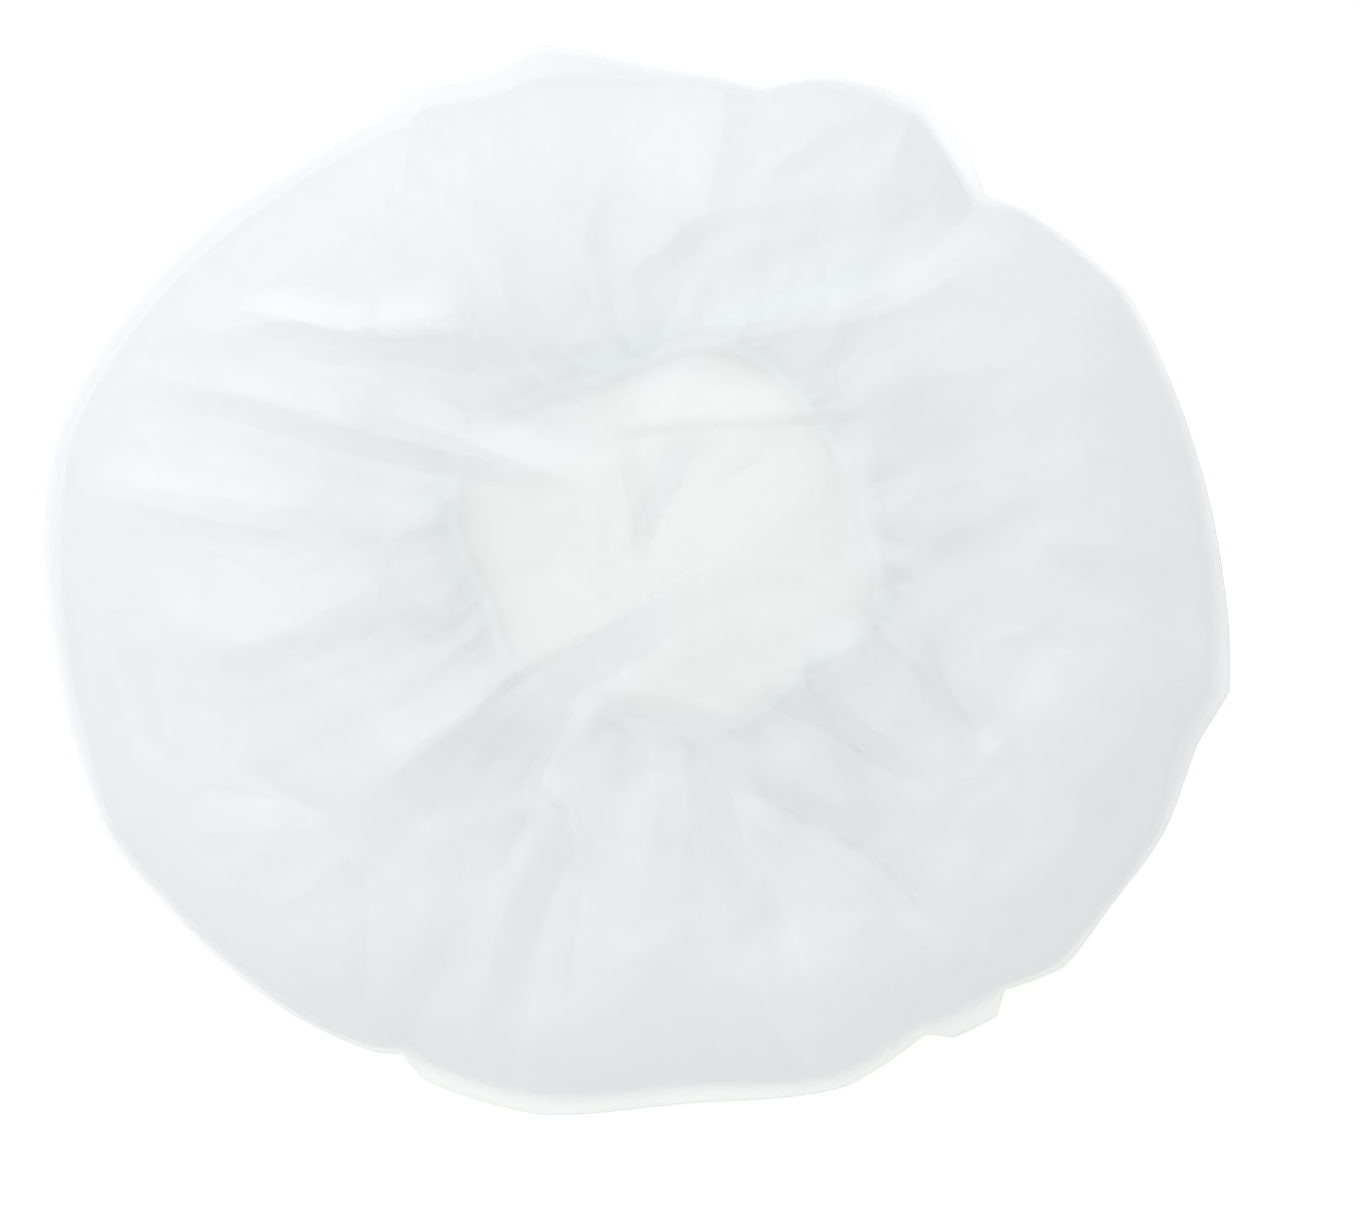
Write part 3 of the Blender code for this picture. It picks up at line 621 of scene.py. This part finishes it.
def disc_square(count):
    """A square grid of count by count cells pushed out into a unit disc: each square ring becomes a
    circle, and equal steps along the ring become equal angles. Gives reach and angle."""
    side = np.linspace(-1, 1, count + 1)
    across, up = np.meshgrid(side, side, indexing="ij")
    wide = np.abs(across) >= np.abs(up)
    reach = np.where(wide, across, up)
    safe = np.where(reach == 0, 1.0, reach)
    angle = np.where(wide, math.pi / 4 * up / safe, math.pi / 2 - math.pi / 4 * across / safe)
    angle = np.where(reach == 0, 0.0, angle)
    x, y = reach * np.cos(angle), reach * np.sin(angle)
    return np.hypot(x, y), np.arctan2(y, x)


def square_border(count):
    """Indices of the border of a (count + 1)-squared grid, anticlockwise from the middle of its
    right side, so that they stand at equal angles from 0."""
    n = count + 1
    grid = np.arange(n * n).reshape(n, n)
    right, top = grid[-1, :-1], grid[::-1, -1][:-1]
    left, bottom = grid[0, ::-1][:-1], grid[:-1, 0]
    border = np.concatenate([right, top, left, bottom])
    return np.roll(border, -(count // 2))


def ripple(turn, count, wander, shift):
    """0 in the valleys and 1 on the ridges of a wave round the circle whose spacing strays by two
    slow sines, of 3 and of 5 waves."""
    stray = wander * (np.sin(3 * turn + shift) + 0.6 * np.sin(5 * turn + 1.0 + 2 * shift))
    return (1 - np.cos(count * turn + stray)) / 2


def opening_edge(turn):
    """The opening's edge in plan at angles in radians: its ellipse times its table's shares."""
    angles, reach = column(OPENING, "angle"), column(OPENING, "reach")
    share = round_table(angles, reach, np.zeros(len(OPENING)), np.degrees(turn))
    right = OPENING_MIDDLE[0] + share * np.cos(turn) * OPENING_WIDTH / 2
    back = OPENING_MIDDLE[1] + share * np.sin(turn) * OPENING_DEPTH / 2
    return np.column_stack([right, back])


def hem_outward(turn):
    """Square to the opening's edge in plan, away from the opening."""
    along = opening_edge(turn + EDGE_STEP) - opening_edge(turn - EDGE_STEP)
    return np.column_stack([along[:, 1], -along[:, 0]]) / np.hypot(along[:, 0], along[:, 1])[:, None]


def hem_line(turn, film):
    """Middle of the elastic at angles in radians: square outwards from the opening's edge, and
    raised a little on the ridges of the longest pleats."""
    long = PLEATS[0]
    height = BAND_LOW + film.elastic / 2 + film.hem_wave * ripple(turn, long.count, long.wander, 0.0)
    return np.column_stack([opening_edge(turn) + hem_outward(turn) * HEM_INSET, height])


def outward(turn, length, height):
    """Vectors of the given length outwards at an angle, and height upwards."""
    return np.stack([np.cos(turn) * length, np.sin(turn) * length, height + 0 * turn], axis=1)


def ring_faces(inner, outer):
    """Quads between two rings of as many vertices, wound to face the side on which the inner ring
    runs anticlockwise with the outer one outside it."""
    return np.stack([inner, outer, np.roll(outer, -1), np.roll(inner, -1)], axis=1)


def cloudiness(places):
    """Slow clouds at places, from 0 to 1: a half plus half the sum of sines that cross at chance
    angles, divided by the root of their number."""
    chance = np.random.default_rng(CLOUDS.seed)
    total = np.zeros(len(places))
    for _ in range(CLOUDS.waves):
        way = chance.normal(size=3)
        way *= chance.uniform(*CLOUDS.pace) / np.linalg.norm(way)
        total += np.sin(places @ way + chance.uniform(0, 2 * math.pi))
    return np.clip(0.5 + 0.5 * total / math.sqrt(CLOUDS.waves), 0, 1)


def way_from_opening(places):
    """The way out from the opening's middle, 1 at its edge, and the angle round its ellipse."""
    size = np.array([OPENING_WIDTH / 2, OPENING_DEPTH / 2])
    out = (places[:, :2] - OPENING_MIDDLE) / size
    round_it = np.arctan2(out[:, 1], out[:, 0])
    edge = (opening_edge(round_it) - OPENING_MIDDLE) / size
    return np.hypot(out[:, 0], out[:, 1]) / np.hypot(edge[:, 0], edge[:, 1]), round_it


def within(way, cloud, warm):
    """1 inside a warm look and 0 beyond it: an eased step down over its fade, at ways out that the
    clouds move."""
    return 1 - eased((way - warm.edge + warm.wobble * cloud) / warm.fade)


def lowness(turn):
    """1 at angles in radians towards the bottom of the cap, easing to 0 on either side."""
    return eased(np.cos(turn - LOW_MIDDLE) * LOW_STEEPNESS - LOW_START)


def warmth(places, covered, film):
    """How warm the crown's film looks at places, from 0 to 1: near 1 over the opening, most so towards
    its bottom, easing off across an uneven edge with a faint halo round it, patches as faint as the
    halo elsewhere, the tinges' shares, less under the flaps over the opening, which are partly painted
    shade, and 1 again along the lower lip."""
    way, round_it = way_from_opening(places)
    cloud = cloudiness(places) - 0.5
    up = np.sin(round_it)
    halo = within(way * (1 - HALO_RISE * up), cloud, HALO)
    patches = eased((cloud - PATCH_START) / PATCH_FADE)
    over_it = within(way, cloud, OVER_OPENING) * (1 - LOWER_WARMER * up * np.minimum(way, 1))
    middle = OVER_OPENING.share * over_it + HALO.share * np.maximum(halo, PATCH_SHARE * patches)
    turn = np.arctan2(places[:, 1], places[:, 0])
    from_rim = rim(turn) - np.hypot(places[:, 0], places[:, 1])
    lower_lip = lowness(turn) * (1 - eased((from_rim - lip_width(turn, film.lip) * LOW_SHARE) / LOW_FADE))
    middle = np.maximum(middle, strokes_share(places[:, :2], TINGES))
    return np.maximum(middle * (1 - COVERS_COOLING * covered), lower_lip)


def film_shares(vertices, film):
    """The film's shares at its vertices, each from 0 to 1: how whitened it is, by layers of film, up to 1
    in the gathers, and by painted light, which is the highlight strokes, the streaks and a ring of light
    round the opening on the crown and a lighter left side of the lip; how warm its colour is, how clear the
    lip is, and how much of it a flap over the opening hides, partly as painted shade."""
    crown = (film.crown_cells + 1) ** 2
    ring = 4 * film.crown_cells
    turn = np.arctan2(vertices[:, 1], vertices[:, 0])
    doubled, clear = np.ones(len(vertices)), np.zeros(len(vertices))
    way, _ = way_from_opening(vertices[:crown])
    # Painted light: a whiter ring round the opening's edge, lifting the shade of the hollow there
    ring_round_it = eased((way - RING_START) / RING_RISE) * (1 - eased((way - RING_END) / RING_FALL))
    place = vertices[:crown, :2]
    # Painted highlights from the highlight strokes, and the whiter streaks
    strokes = np.maximum(strokes_share(place, HIGHLIGHT_STROKES), streaks_share(place))
    doubled[:crown] = np.maximum(strokes, film.ring_painted_light * ring_round_it)
    lip_top_end = crown + len(LIP_TOP) * ring
    upper_lip = np.concatenate([square_border(film.crown_cells), np.arange(crown, lip_top_end)])
    # Partly the lip's two films and partly painted light: the lip is whiter towards the left, the side the
    # light falls on
    whiteness = 1 - LIP_CONTRAST + LIP_CONTRAST * np.cos(turn[upper_lip] - LIP_WHITEST)
    doubled[upper_lip] = film.lip_painted_light * whiteness
    lip = slice(crown, lip_top_end + len(LIP_UNDERSIDE) * ring)
    clear[lip] = straight_round("clear", turn[lip])
    # Flaps over the opening, whose darkening is partly painted shade
    folded = strokes_share(vertices[:, :2], FLAPS_AND_PAINTED_SHADE)
    warm = warmth(vertices, folded, film)
    warm[lip_top_end:] = 0.0
    folded[crown:] = 0.0
    return {"doubled": doubled, "warm": warm, "clear": clear, "folded": folded}


def new_piece(name, vertices, faces, smooth=True):
    """A mesh object at the origin, shown, from arrays of vertices and faces."""
    mesh = bpy.data.meshes.new(name)
    mesh.from_pydata(vertices.tolist(), [], faces.tolist())
    if smooth:
        mesh.shade_smooth()
    piece = bpy.data.objects.new(name, mesh)
    bpy.context.scene.collection.objects.link(piece)
    return piece


def crown_surface(film):
    """The crown: at a share of the way out and an angle, the place is that share of the way to the
    lip's root, and the height is the profile times the rise plus the folds, which fade into the lip."""
    reach, turn = disc_square(film.crown_cells)
    reach, turn = reach.ravel(), turn.ravel()
    root = rim(turn) - lip_width(turn, film.lip)
    place = np.stack([np.cos(turn), np.sin(turn)], axis=1) * (reach * root)[:, None]
    height = crown_profile(reach) * film.crown_rise
    fading = 1 - eased((reach - FOLDS_END) / FOLDS_FADE)
    folds, creases = folds_height(place) * film.fold_depth, creases_height(place) * film.crease_depth
    height += (folds + creases + crumple_height(place, film)) * fading
    return np.column_stack([place, np.maximum(height, film.lip_height)])


def lip_rings(turn, film):
    """The lip's top from its root outwards, the rim, and the underside of the lip. Both films rise
    and fall together in slow waves, so that the lip doesn't lie dead flat."""
    reach, width = rim(turn), lip_width(turn, film.lip)
    wave = film.lip_wave * math.prod(ripple(turn, *row) for row in LIP_WAVES)
    rings = []
    for inset, height in LIP_TOP + LIP_UNDERSIDE:
        lift = wave * (1 - inset)
        rings.append(outward(turn, reach - inset * width, height * film.lip_height + lift))
    return rings


def underside_height(turn, way, film):
    """Height of the underside at angles and a share of the way in from the lip's root to the hem:
    each rank of pleats is a wave round the circle that grows from its reach in to the hem."""
    total = 0.0
    for i, rank in enumerate(PLEATS):
        start = 1 - rank.reach
        grown = eased((way - start) / (PLEAT_GROWTH * (1 - start)))
        total = total + rank.rise / 1000 * grown * ripple(turn, rank.count, rank.wander, RANK_SHIFT * i)
    gathered = 1 - GATHERED_SHARE * eased((way - GATHERED_FROM) / GATHERED_OVER)
    return total * gathered * film.pleat_depth


def underside_point(turn, way, film):
    """A ring of the underside: from the lip's root straight in to the hem, at the pleats' height,
    and pushed sideways as it rises, so that the pleats lean over."""
    reach = rim(turn) - lip_width(turn, film.lip)
    start, end = outward(turn, reach, 0.0), hem_line(turn, film)
    place = start + (end - start) * way
    height = underside_height(turn, way, film)
    lean = film.pleat_lean * height * np.sin(LEAN_WAVES * turn + LEAN_SHIFT)
    side = np.stack([-np.sin(turn), np.cos(turn)], axis=1) * lean[:, None]
    return np.column_stack([place[:, :2] + side, height])


def underside_rings(turn, film):
    """The underside's rings, at even ways in from near the lip's root to near the hem."""
    return [underside_point(turn, way, film) for way in np.linspace(*UNDERSIDE_REACH, film.underside_rings)]


def hem_rings(turn, film):
    """The hem: a circle round the elastic's line from below, over the inner side and the top, and
    then the hem's allowance, which lies on the underside just inside the hollow."""
    centre = hem_line(turn, film)
    radius = film.elastic / 2 + film.hem_clearance
    rings, out = [], hem_outward(turn)
    for degrees in np.linspace(*HEM_WRAP, film.hem_rings):
        angle = math.radians(degrees)
        rings.append(centre + radius * np.column_stack([out * math.cos(angle), 0 * turn + math.sin(angle)]))
    for way in ALLOWANCE:
        flap = underside_point(turn, way, film)
        flap[:, 2] += film.layer * ALLOWANCE_LAYERS
        rings.append(flap)
    return rings


def film_mesh(film):
    """The whole sheet: the crown's grid, and rings from its border out over the lip, back under it,
    in along the underside and round the hem."""
    crown = crown_surface(film)
    count = film.crown_cells
    border = square_border(count)
    turn = np.linspace(0, 2 * math.pi, 4 * count, endpoint=False)
    n = count + 1
    grid = np.arange(n * n).reshape(n, n)
    faces = [np.stack([grid[:-1, :-1], grid[1:, :-1], grid[1:, 1:], grid[:-1, 1:]], axis=2).reshape(-1, 4)]
    vertices, last = [crown], border
    first_free = n * n
    for ring in lip_rings(turn, film) + underside_rings(turn, film) + hem_rings(turn, film):
        here = np.arange(len(turn)) + first_free
        faces.append(ring_faces(last, here))
        vertices.append(ring)
        last = here
        first_free += len(turn)
    return np.vstack(vertices), np.vstack(faces)


def elastic_mesh(film):
    """A tube round the hem's middle line: a circle carried along it, its radius swelling a little in
    the many small ribs of a covered elastic."""
    turn = np.linspace(0, 2 * math.pi, TUBE_ROUNDS, endpoint=False)
    centre = hem_line(turn, film)
    around = np.linspace(0, 2 * math.pi, TUBE_SIDES, endpoint=False)
    radius = film.elastic / 2 * (1 - RIB_DEPTH + RIB_DEPTH * np.cos(turn * TUBE_RIBS))
    out = np.column_stack([hem_outward(turn), 0 * turn])
    vertices = (
        centre[:, None, :]
        + radius[:, None, None] * np.cos(around)[None, :, None] * out[:, None, :]
        + radius[:, None, None] * np.sin(around)[None, :, None] * np.array([0, 0, 1.0])
    ).reshape(-1, 3)
    grid = np.arange(TUBE_ROUNDS * TUBE_SIDES).reshape(TUBE_ROUNDS, TUBE_SIDES)
    after, above = np.roll(grid, -1, axis=0), np.roll(grid, -1, axis=1)
    across = np.roll(after, -1, axis=1)
    return vertices, np.stack([grid, after, across, above], axis=2).reshape(-1, 4)


class Shade:
    """A value in a material's node tree. Arithmetic on it adds Math nodes, with numbers on either side."""

    def __init__(self, tree, output):
        self.tree, self.output = tree, output

    def math(self, operation, first, second):
        return node(self.tree, "ShaderNodeMath", {"operation": operation}, {0: first, 1: second}, 0)

    def __add__(self, other):
        return self.math("ADD", self, other)

    def __sub__(self, other):
        return self.math("SUBTRACT", self, other)

    def __mul__(self, other):
        return self.math("MULTIPLY", self, other)

    def __rsub__(self, other):
        return self.math("SUBTRACT", other, self)

    __radd__ = __add__
    __rmul__ = __mul__


def node(tree, kind, settings, sockets, output=None):
    """Adds a node, sets its settings first, then its sockets from numbers, colours or Shades. Gives
    the output asked for as a Shade, or the node itself."""
    made = tree.nodes.new(kind)
    for key, value in settings.items():
        setattr(made, key, value)
    for key, value in sockets.items():
        if isinstance(value, Shade):
            tree.links.new(value.output, made.inputs[key])
        else:
            made.inputs[key].default_value = value
    return made if output is None else Shade(tree, made.outputs[output])


def mix_colours(tree, factor, first, second, blend="MIX"):
    """A mix of two colours, or their product, by a factor."""
    settings = {"data_type": "RGBA", "blend_type": blend}
    return node(tree, "ShaderNodeMix", settings, {"Factor": factor, "A": first, "B": second}, 2)


def mix_shaders(tree, share, first, second):
    """A mix of two shaders, with the given share of the second."""
    return node(tree, "ShaderNodeMixShader", {}, {0: share, 1: first, 2: second}, 0)


def solid(colour, scale=(1.0, 1.0, 1.0)):
    """A colour times a scale, with its alpha."""
    return (*(part * by for part, by in zip(colour, scale)), 1.0)


def new_material(name):
    """An empty material, and its node tree with only an output in it."""
    made = bpy.data.materials.new(name)
    made.use_nodes = True
    made.node_tree.nodes.clear()
    return made, made.node_tree, made.node_tree.nodes.new("ShaderNodeOutputMaterial")


def film_material(film):
    """Frosted film: a rough, faintly glossy surface, mixed with a glow of the light behind it, and
    clear for the rest. It stops more light where it is double and where light is painted on it, more again
    under the flaps over the opening, which partly paint shade, and less where it is clear; its colour is
    whiter where it is double and where light is painted on it, and filtered where warm."""
    made, tree, out = new_material("frosted film")
    doubled, warm, clear, folded = (
        node(tree, "ShaderNodeAttribute", {"attribute_name": name}, {}, "Fac")
        for name in ("doubled", "warm", "clear", "folded")
    )
    cover = film.opacity + film.doubled_opacity * doubled + film.flap_opacity * folded
    cover = cover - film.clearness * clear
    # Whiter colour where the film is double and where light is painted on it
    plain = mix_colours(tree, doubled, solid(film.tint), solid(film.doubled_and_painted_light_tint))
    colour = mix_colours(tree, warm, plain, solid(film.warm_filter), "MULTIPLY")
    frost = {"Base Color": colour, "Roughness": film.roughness, "IOR": film.refraction}
    surface = node(tree, "ShaderNodeBsdfPrincipled", {}, frost, 0)

    def glow(tint, scale):
        """Light let through in one colour."""
        return node(tree, "ShaderNodeBsdfTranslucent", {}, {"Color": solid(tint, scale)}, 0)

    glows = (
        mix_shaders(tree, doubled, glow(film.tint, scale), glow(film.doubled_and_painted_light_tint, scale))
        for scale in ((1.0, 1.0, 1.0), film.warm_filter)
    )
    body = mix_shaders(tree, film.glow, surface, mix_shaders(tree, warm, *glows))
    nothing = node(tree, "ShaderNodeBsdfTransparent", {}, {"Color": solid((1.0, 1.0, 1.0))}, 0)
    tree.links.new(mix_shaders(tree, cover, nothing, body).output, out.inputs["Surface"])
    return made


def elastic_material(film):
    """Covered elastic: matt pale grey, fuzzy, with painted shade that darkens it a little in the fuzz's
    hollows.
    """
    made, tree, out = new_material("elastic")
    place = node(tree, "ShaderNodeTexCoord", {}, {}, "Object")
    fuzz = node(tree, "ShaderNodeTexNoise", {}, {"Vector": place, "Scale": 1400.0, "Detail": 3.0}, 0)
    # Painted shade: darker in the fuzz's hollows
    colour = mix_colours(tree, fuzz, solid(film.elastic_hollow_shade), solid(film.elastic_colour))
    bump = node(tree, "ShaderNodeBump", {}, {"Height": fuzz, "Distance": 0.0001, "Strength": 0.7}, 0)
    cloth = {"Base Color": colour, "Roughness": 0.8, "Normal": bump}
    tree.links.new(node(tree, "ShaderNodeBsdfPrincipled", {}, cloth, 0).output, out.inputs["Surface"])
    return made


def table_material(stage):
    """Plain pale table top with the faintest mottling."""
    made, tree, out = new_material("pale table")
    place = node(tree, "ShaderNodeTexCoord", {}, {}, "Object")
    mottle = node(tree, "ShaderNodeTexNoise", {}, {"Vector": place, "Scale": 6.0, "Detail": 2.0}, 0)
    colour = mix_colours(tree, mottle, solid(stage.table_colour), solid(stage.table_colour, (MOTTLE,) * 3))
    matt = {"Base Color": colour, "Roughness": 0.9}
    tree.links.new(node(tree, "ShaderNodeBsdfPrincipled", {}, matt, 0).output, out.inputs["Surface"])
    return made


class FilmSettings(bpy.types.PropertyGroup):
    """Sizes and colours of the film, its hem and its elastic."""

    layer: Length(name="Layer", description="Height that one layer of the film takes up", default=0.0002)
    crown_rise: Length(
        name="Crown rise", description="Top of the crown above the table, folds apart", default=0.022
    )
    lip: Length(name="Lip", description="Full width of the pressed lip", default=0.0042)
    lip_height: Length(
        name="Lip height", description="The lip's two films and the air between them", default=0.00025
    )
    lip_wave: Length(name="Lip wave", description="How far the lip lifts off the table", default=0.0006)
    fold_depth: FloatProperty(name="Fold depth", description="Scale of the folds' rise", default=1.05)
    crumple: Length(name="Crumple", description="Rise of the largest facets of the crown", default=0.0010)
    crumple_seed: IntProperty(name="Crumple seed", description="Chooses the crown's facets", default=3)
    crease_depth: FloatProperty(
        name="Crease depth", description="Scale of the scattered creases", default=0.75
    )
    crown_cells: IntProperty(name="Crown cells", description="Cells across the crown's grid", default=256)
    underside_rings: IntProperty(
        name="Underside rings", description="Rings between lip and hem", default=15
    )
    hem_rings: IntProperty(name="Hem rings", description="Rings of film round the elastic", default=7)
    pleat_depth: FloatProperty(name="Pleat depth", description="Scale of the pleats' rise", default=1.0)
    pleat_lean: FloatProperty(name="Pleat lean", description="How far the pleats lean over", default=0.5)
    elastic: Length(name="Elastic", description="Diameter of the elastic", default=0.0020)
    hem_clearance: Length(
        name="Hem clearance", description="From the elastic to the film's outside", default=0.0006
    )
    hem_wave: Length(name="Hem wave", description="Rise of the hem on the pleats' ridges", default=0.0008)
    tint: Colour(
        name="Film colour", description="Colour of the crown's film", default=(0.890, 0.898, 0.909)
    )
    warm_filter: Colour(
        name="Warm filter", description="Tints the film over the opening and along the lower lip",
        default=(0.949, 0.967, 0.938),
    )
    # Colour of the gathers, also used for the painted highlights and the other painted light
    doubled_and_painted_light_tint: Colour(
        name="Doubled colour", description="Colour of gathered or doubled film",
        default=(0.977, 0.986, 0.994),
    )
    # The lip's two films and painted light on it, whitest at the left
    lip_painted_light: FloatProperty(
        name="Lip whiteness", description="How doubled the lip's film looks at the left", default=0.8
    )
    # Painted light in a whiter ring round the opening
    ring_painted_light: FloatProperty(
        name="Ring whiteness", description="How doubled the crown looks round the opening", default=0.33
    )
    opacity: FloatProperty(name="Opacity", description="Share of light that the film stops", default=0.66)
    doubled_opacity: FloatProperty(
        name="Doubled opacity", description="Share of light that doubled film stops besides", default=0.08
    )
    # Stopped by the flaps over the opening, partly painted shade
    flap_opacity: FloatProperty(
        name="Flap opacity", description="Share that a fold over the opening stops besides", default=0.34
    )
    clearness: FloatProperty(
        name="Clearness", description="Share that the lip lets by besides, where clearest", default=0.35
    )
    glow: FloatProperty(
        name="Glow", description="Share of the stopped light that comes out behind", default=0.55
    )
    roughness: FloatProperty(name="Roughness", description="Roughness of the film's surface", default=0.34)
    refraction: FloatProperty(name="Refraction", description="The film's index of refraction", default=1.48)
    elastic_colour: Colour(
        name="Elastic colour", description="Colour of the elastic", default=(0.85, 0.86, 0.86)
    )
    # Painted shade in the hollows of the elastic's fuzz
    elastic_hollow_shade: Colour(
        name="Elastic hollows", description="Colour in the elastic's hollows", default=(0.80, 0.81, 0.81)
    )


class StageSettings(bpy.types.PropertyGroup):
    """The table, the lights and the camera."""

    table_half: Length(name="Table", description="Half the table's width", default=4.0)
    table_colour: Colour(
        name="Table colour", description="Colour of the table", default=(0.940, 0.935, 0.905)
    )
    key_power: FloatProperty(
        name="Key light", description="Power of the light from the upper left", default=11.6
    )
    fill_power: FloatProperty(name="Top light", description="Power of the overhead light", default=5.1)
    key_colour: Colour(
        name="Key colour", description="Colour of the key light", default=(0.892, 0.950, 1.0)
    )
    light_colour: Colour(
        name="Light colour", description="Colour of all other light", default=(0.961, 0.970, 0.981)
    )
    sky: FloatProperty(
        name="Surroundings", description="Strength of the surrounding light", default=0.85
    )
    lens: FloatProperty(name="Lens", description="Focal length in millimetres", default=100.0)
    camera_height: Length(name="Camera height", description="Camera above the table", default=0.796)


class SHOWERCAP_OT_film(bpy.types.Operator):
    """Make the sheet of film: crown, lip, gathered underside and hem"""

    bl_idname = "shower_cap.film"
    bl_label = "Make the film"

    def execute(self, context):
        film = context.scene.shower_cap_film
        vertices, faces = film_mesh(film)
        sheet = new_piece("film_sheet", vertices, faces)
        for name, values in film_shares(vertices, film).items():
            layer = sheet.data.attributes.new(name, "FLOAT", "POINT")
            layer.data.foreach_set("value", values.astype(np.float32))
        sheet.data.materials.append(film_material(film))
        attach(sheet, "root")
        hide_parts("cap_film")
        return {"FINISHED"}


class SHOWERCAP_OT_elastic(bpy.types.Operator):
    """Make the elastic inside the hem"""

    bl_idname = "shower_cap.elastic"
    bl_label = "Make the elastic"

    def execute(self, context):
        film = context.scene.shower_cap_film
        vertices, faces = elastic_mesh(film)
        elastic = new_piece("covered_elastic", vertices, faces)
        elastic.data.materials.append(elastic_material(film))
        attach(elastic, "root")
        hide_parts("elastic_band")
        return {"FINISHED"}


def add_light(lamp, power, colour):
    """A square area light at a lamp's place, turned to face the middle of the table."""
    light = bpy.data.lights.new(lamp.name, "AREA")
    light.energy, light.color, light.size = power, colour, lamp.size
    made = bpy.data.objects.new(lamp.name, light)
    made.location = lamp.place
    made.rotation_euler = Vector(lamp.place).to_track_quat("Z", "Y").to_euler()
    bpy.context.scene.collection.objects.link(made)


class SHOWERCAP_OT_stage(bpy.types.Operator):
    """Make the table, the lights and the camera"""

    bl_idname = "shower_cap.stage"
    bl_label = "Make the stage"

    def execute(self, context):
        stage = context.scene.shower_cap_stage
        corners = np.array([[-1.0, -1.0, 0.0], [1.0, -1.0, 0.0], [1.0, 1.0, 0.0], [-1.0, 1.0, 0.0]])
        corners = corners * stage.table_half - (0.0, 0.0, TABLE_DROP)
        table = new_piece("table", corners, np.array([[0, 1, 2, 3]]), smooth=False)
        table.data.materials.append(table_material(stage))
        add_light(KEY_LIGHT, stage.key_power, stage.key_colour)
        add_light(TOP_LIGHT, stage.fill_power, stage.light_colour)
        world = bpy.data.worlds.new("surroundings")
        world.use_nodes = True
        background = world.node_tree.nodes["Background"]
        background.inputs["Color"].default_value = solid(stage.light_colour)
        background.inputs["Strength"].default_value = stage.sky
        context.scene.world = world
        eye = bpy.data.cameras.new("camera")
        eye.lens, eye.sensor_width = stage.lens, SENSOR_WIDTH
        camera = bpy.data.objects.new("camera", eye)
        camera.location = (*photo_place(PHOTO_CENTRE), stage.camera_height)
        context.scene.collection.objects.link(camera)
        context.scene.camera = camera
        context.scene.view_settings.view_transform = "Standard"
        for name, most in BOUNCES.items():
            setattr(context.scene.cycles, name, most)
        return {"FINISHED"}


class VIEW3D_PT_shower_cap(bpy.types.Panel):
    """Lists the pieces of the shower cap and their settings"""

    bl_label = "Shower Cap"
    bl_space_type = "VIEW_3D"
    bl_region_type = "UI"
    bl_category = "Shower Cap"

    def draw(self, context):
        for maker in MAKERS:
            self.layout.operator(maker.bl_idname)
        for settings in (context.scene.shower_cap_film, context.scene.shower_cap_stage):
            box = self.layout.box()
            for name in settings.__annotations__:
                box.prop(settings, name)


MAKERS = (SHOWERCAP_OT_film, SHOWERCAP_OT_elastic, SHOWERCAP_OT_stage)
CLASSES = (FilmSettings, StageSettings, *MAKERS, VIEW3D_PT_shower_cap)


def register():
    """Makes the classes known to Blender and gives every scene the settings."""
    for kind in CLASSES:
        bpy.utils.register_class(kind)
    bpy.types.Scene.shower_cap_film = PointerProperty(type=FilmSettings)
    bpy.types.Scene.shower_cap_stage = PointerProperty(type=StageSettings)


def unregister():
    """Takes back what register did."""
    del bpy.types.Scene.shower_cap_film
    del bpy.types.Scene.shower_cap_stage
    for kind in reversed(CLASSES):
        bpy.utils.unregister_class(kind)


def main():
    """Makes every piece and the stage."""
    register()
    bpy.ops.shower_cap.film()
    bpy.ops.shower_cap.elastic()
    bpy.ops.shower_cap.stage()


if __name__ == "__main__":
    main()
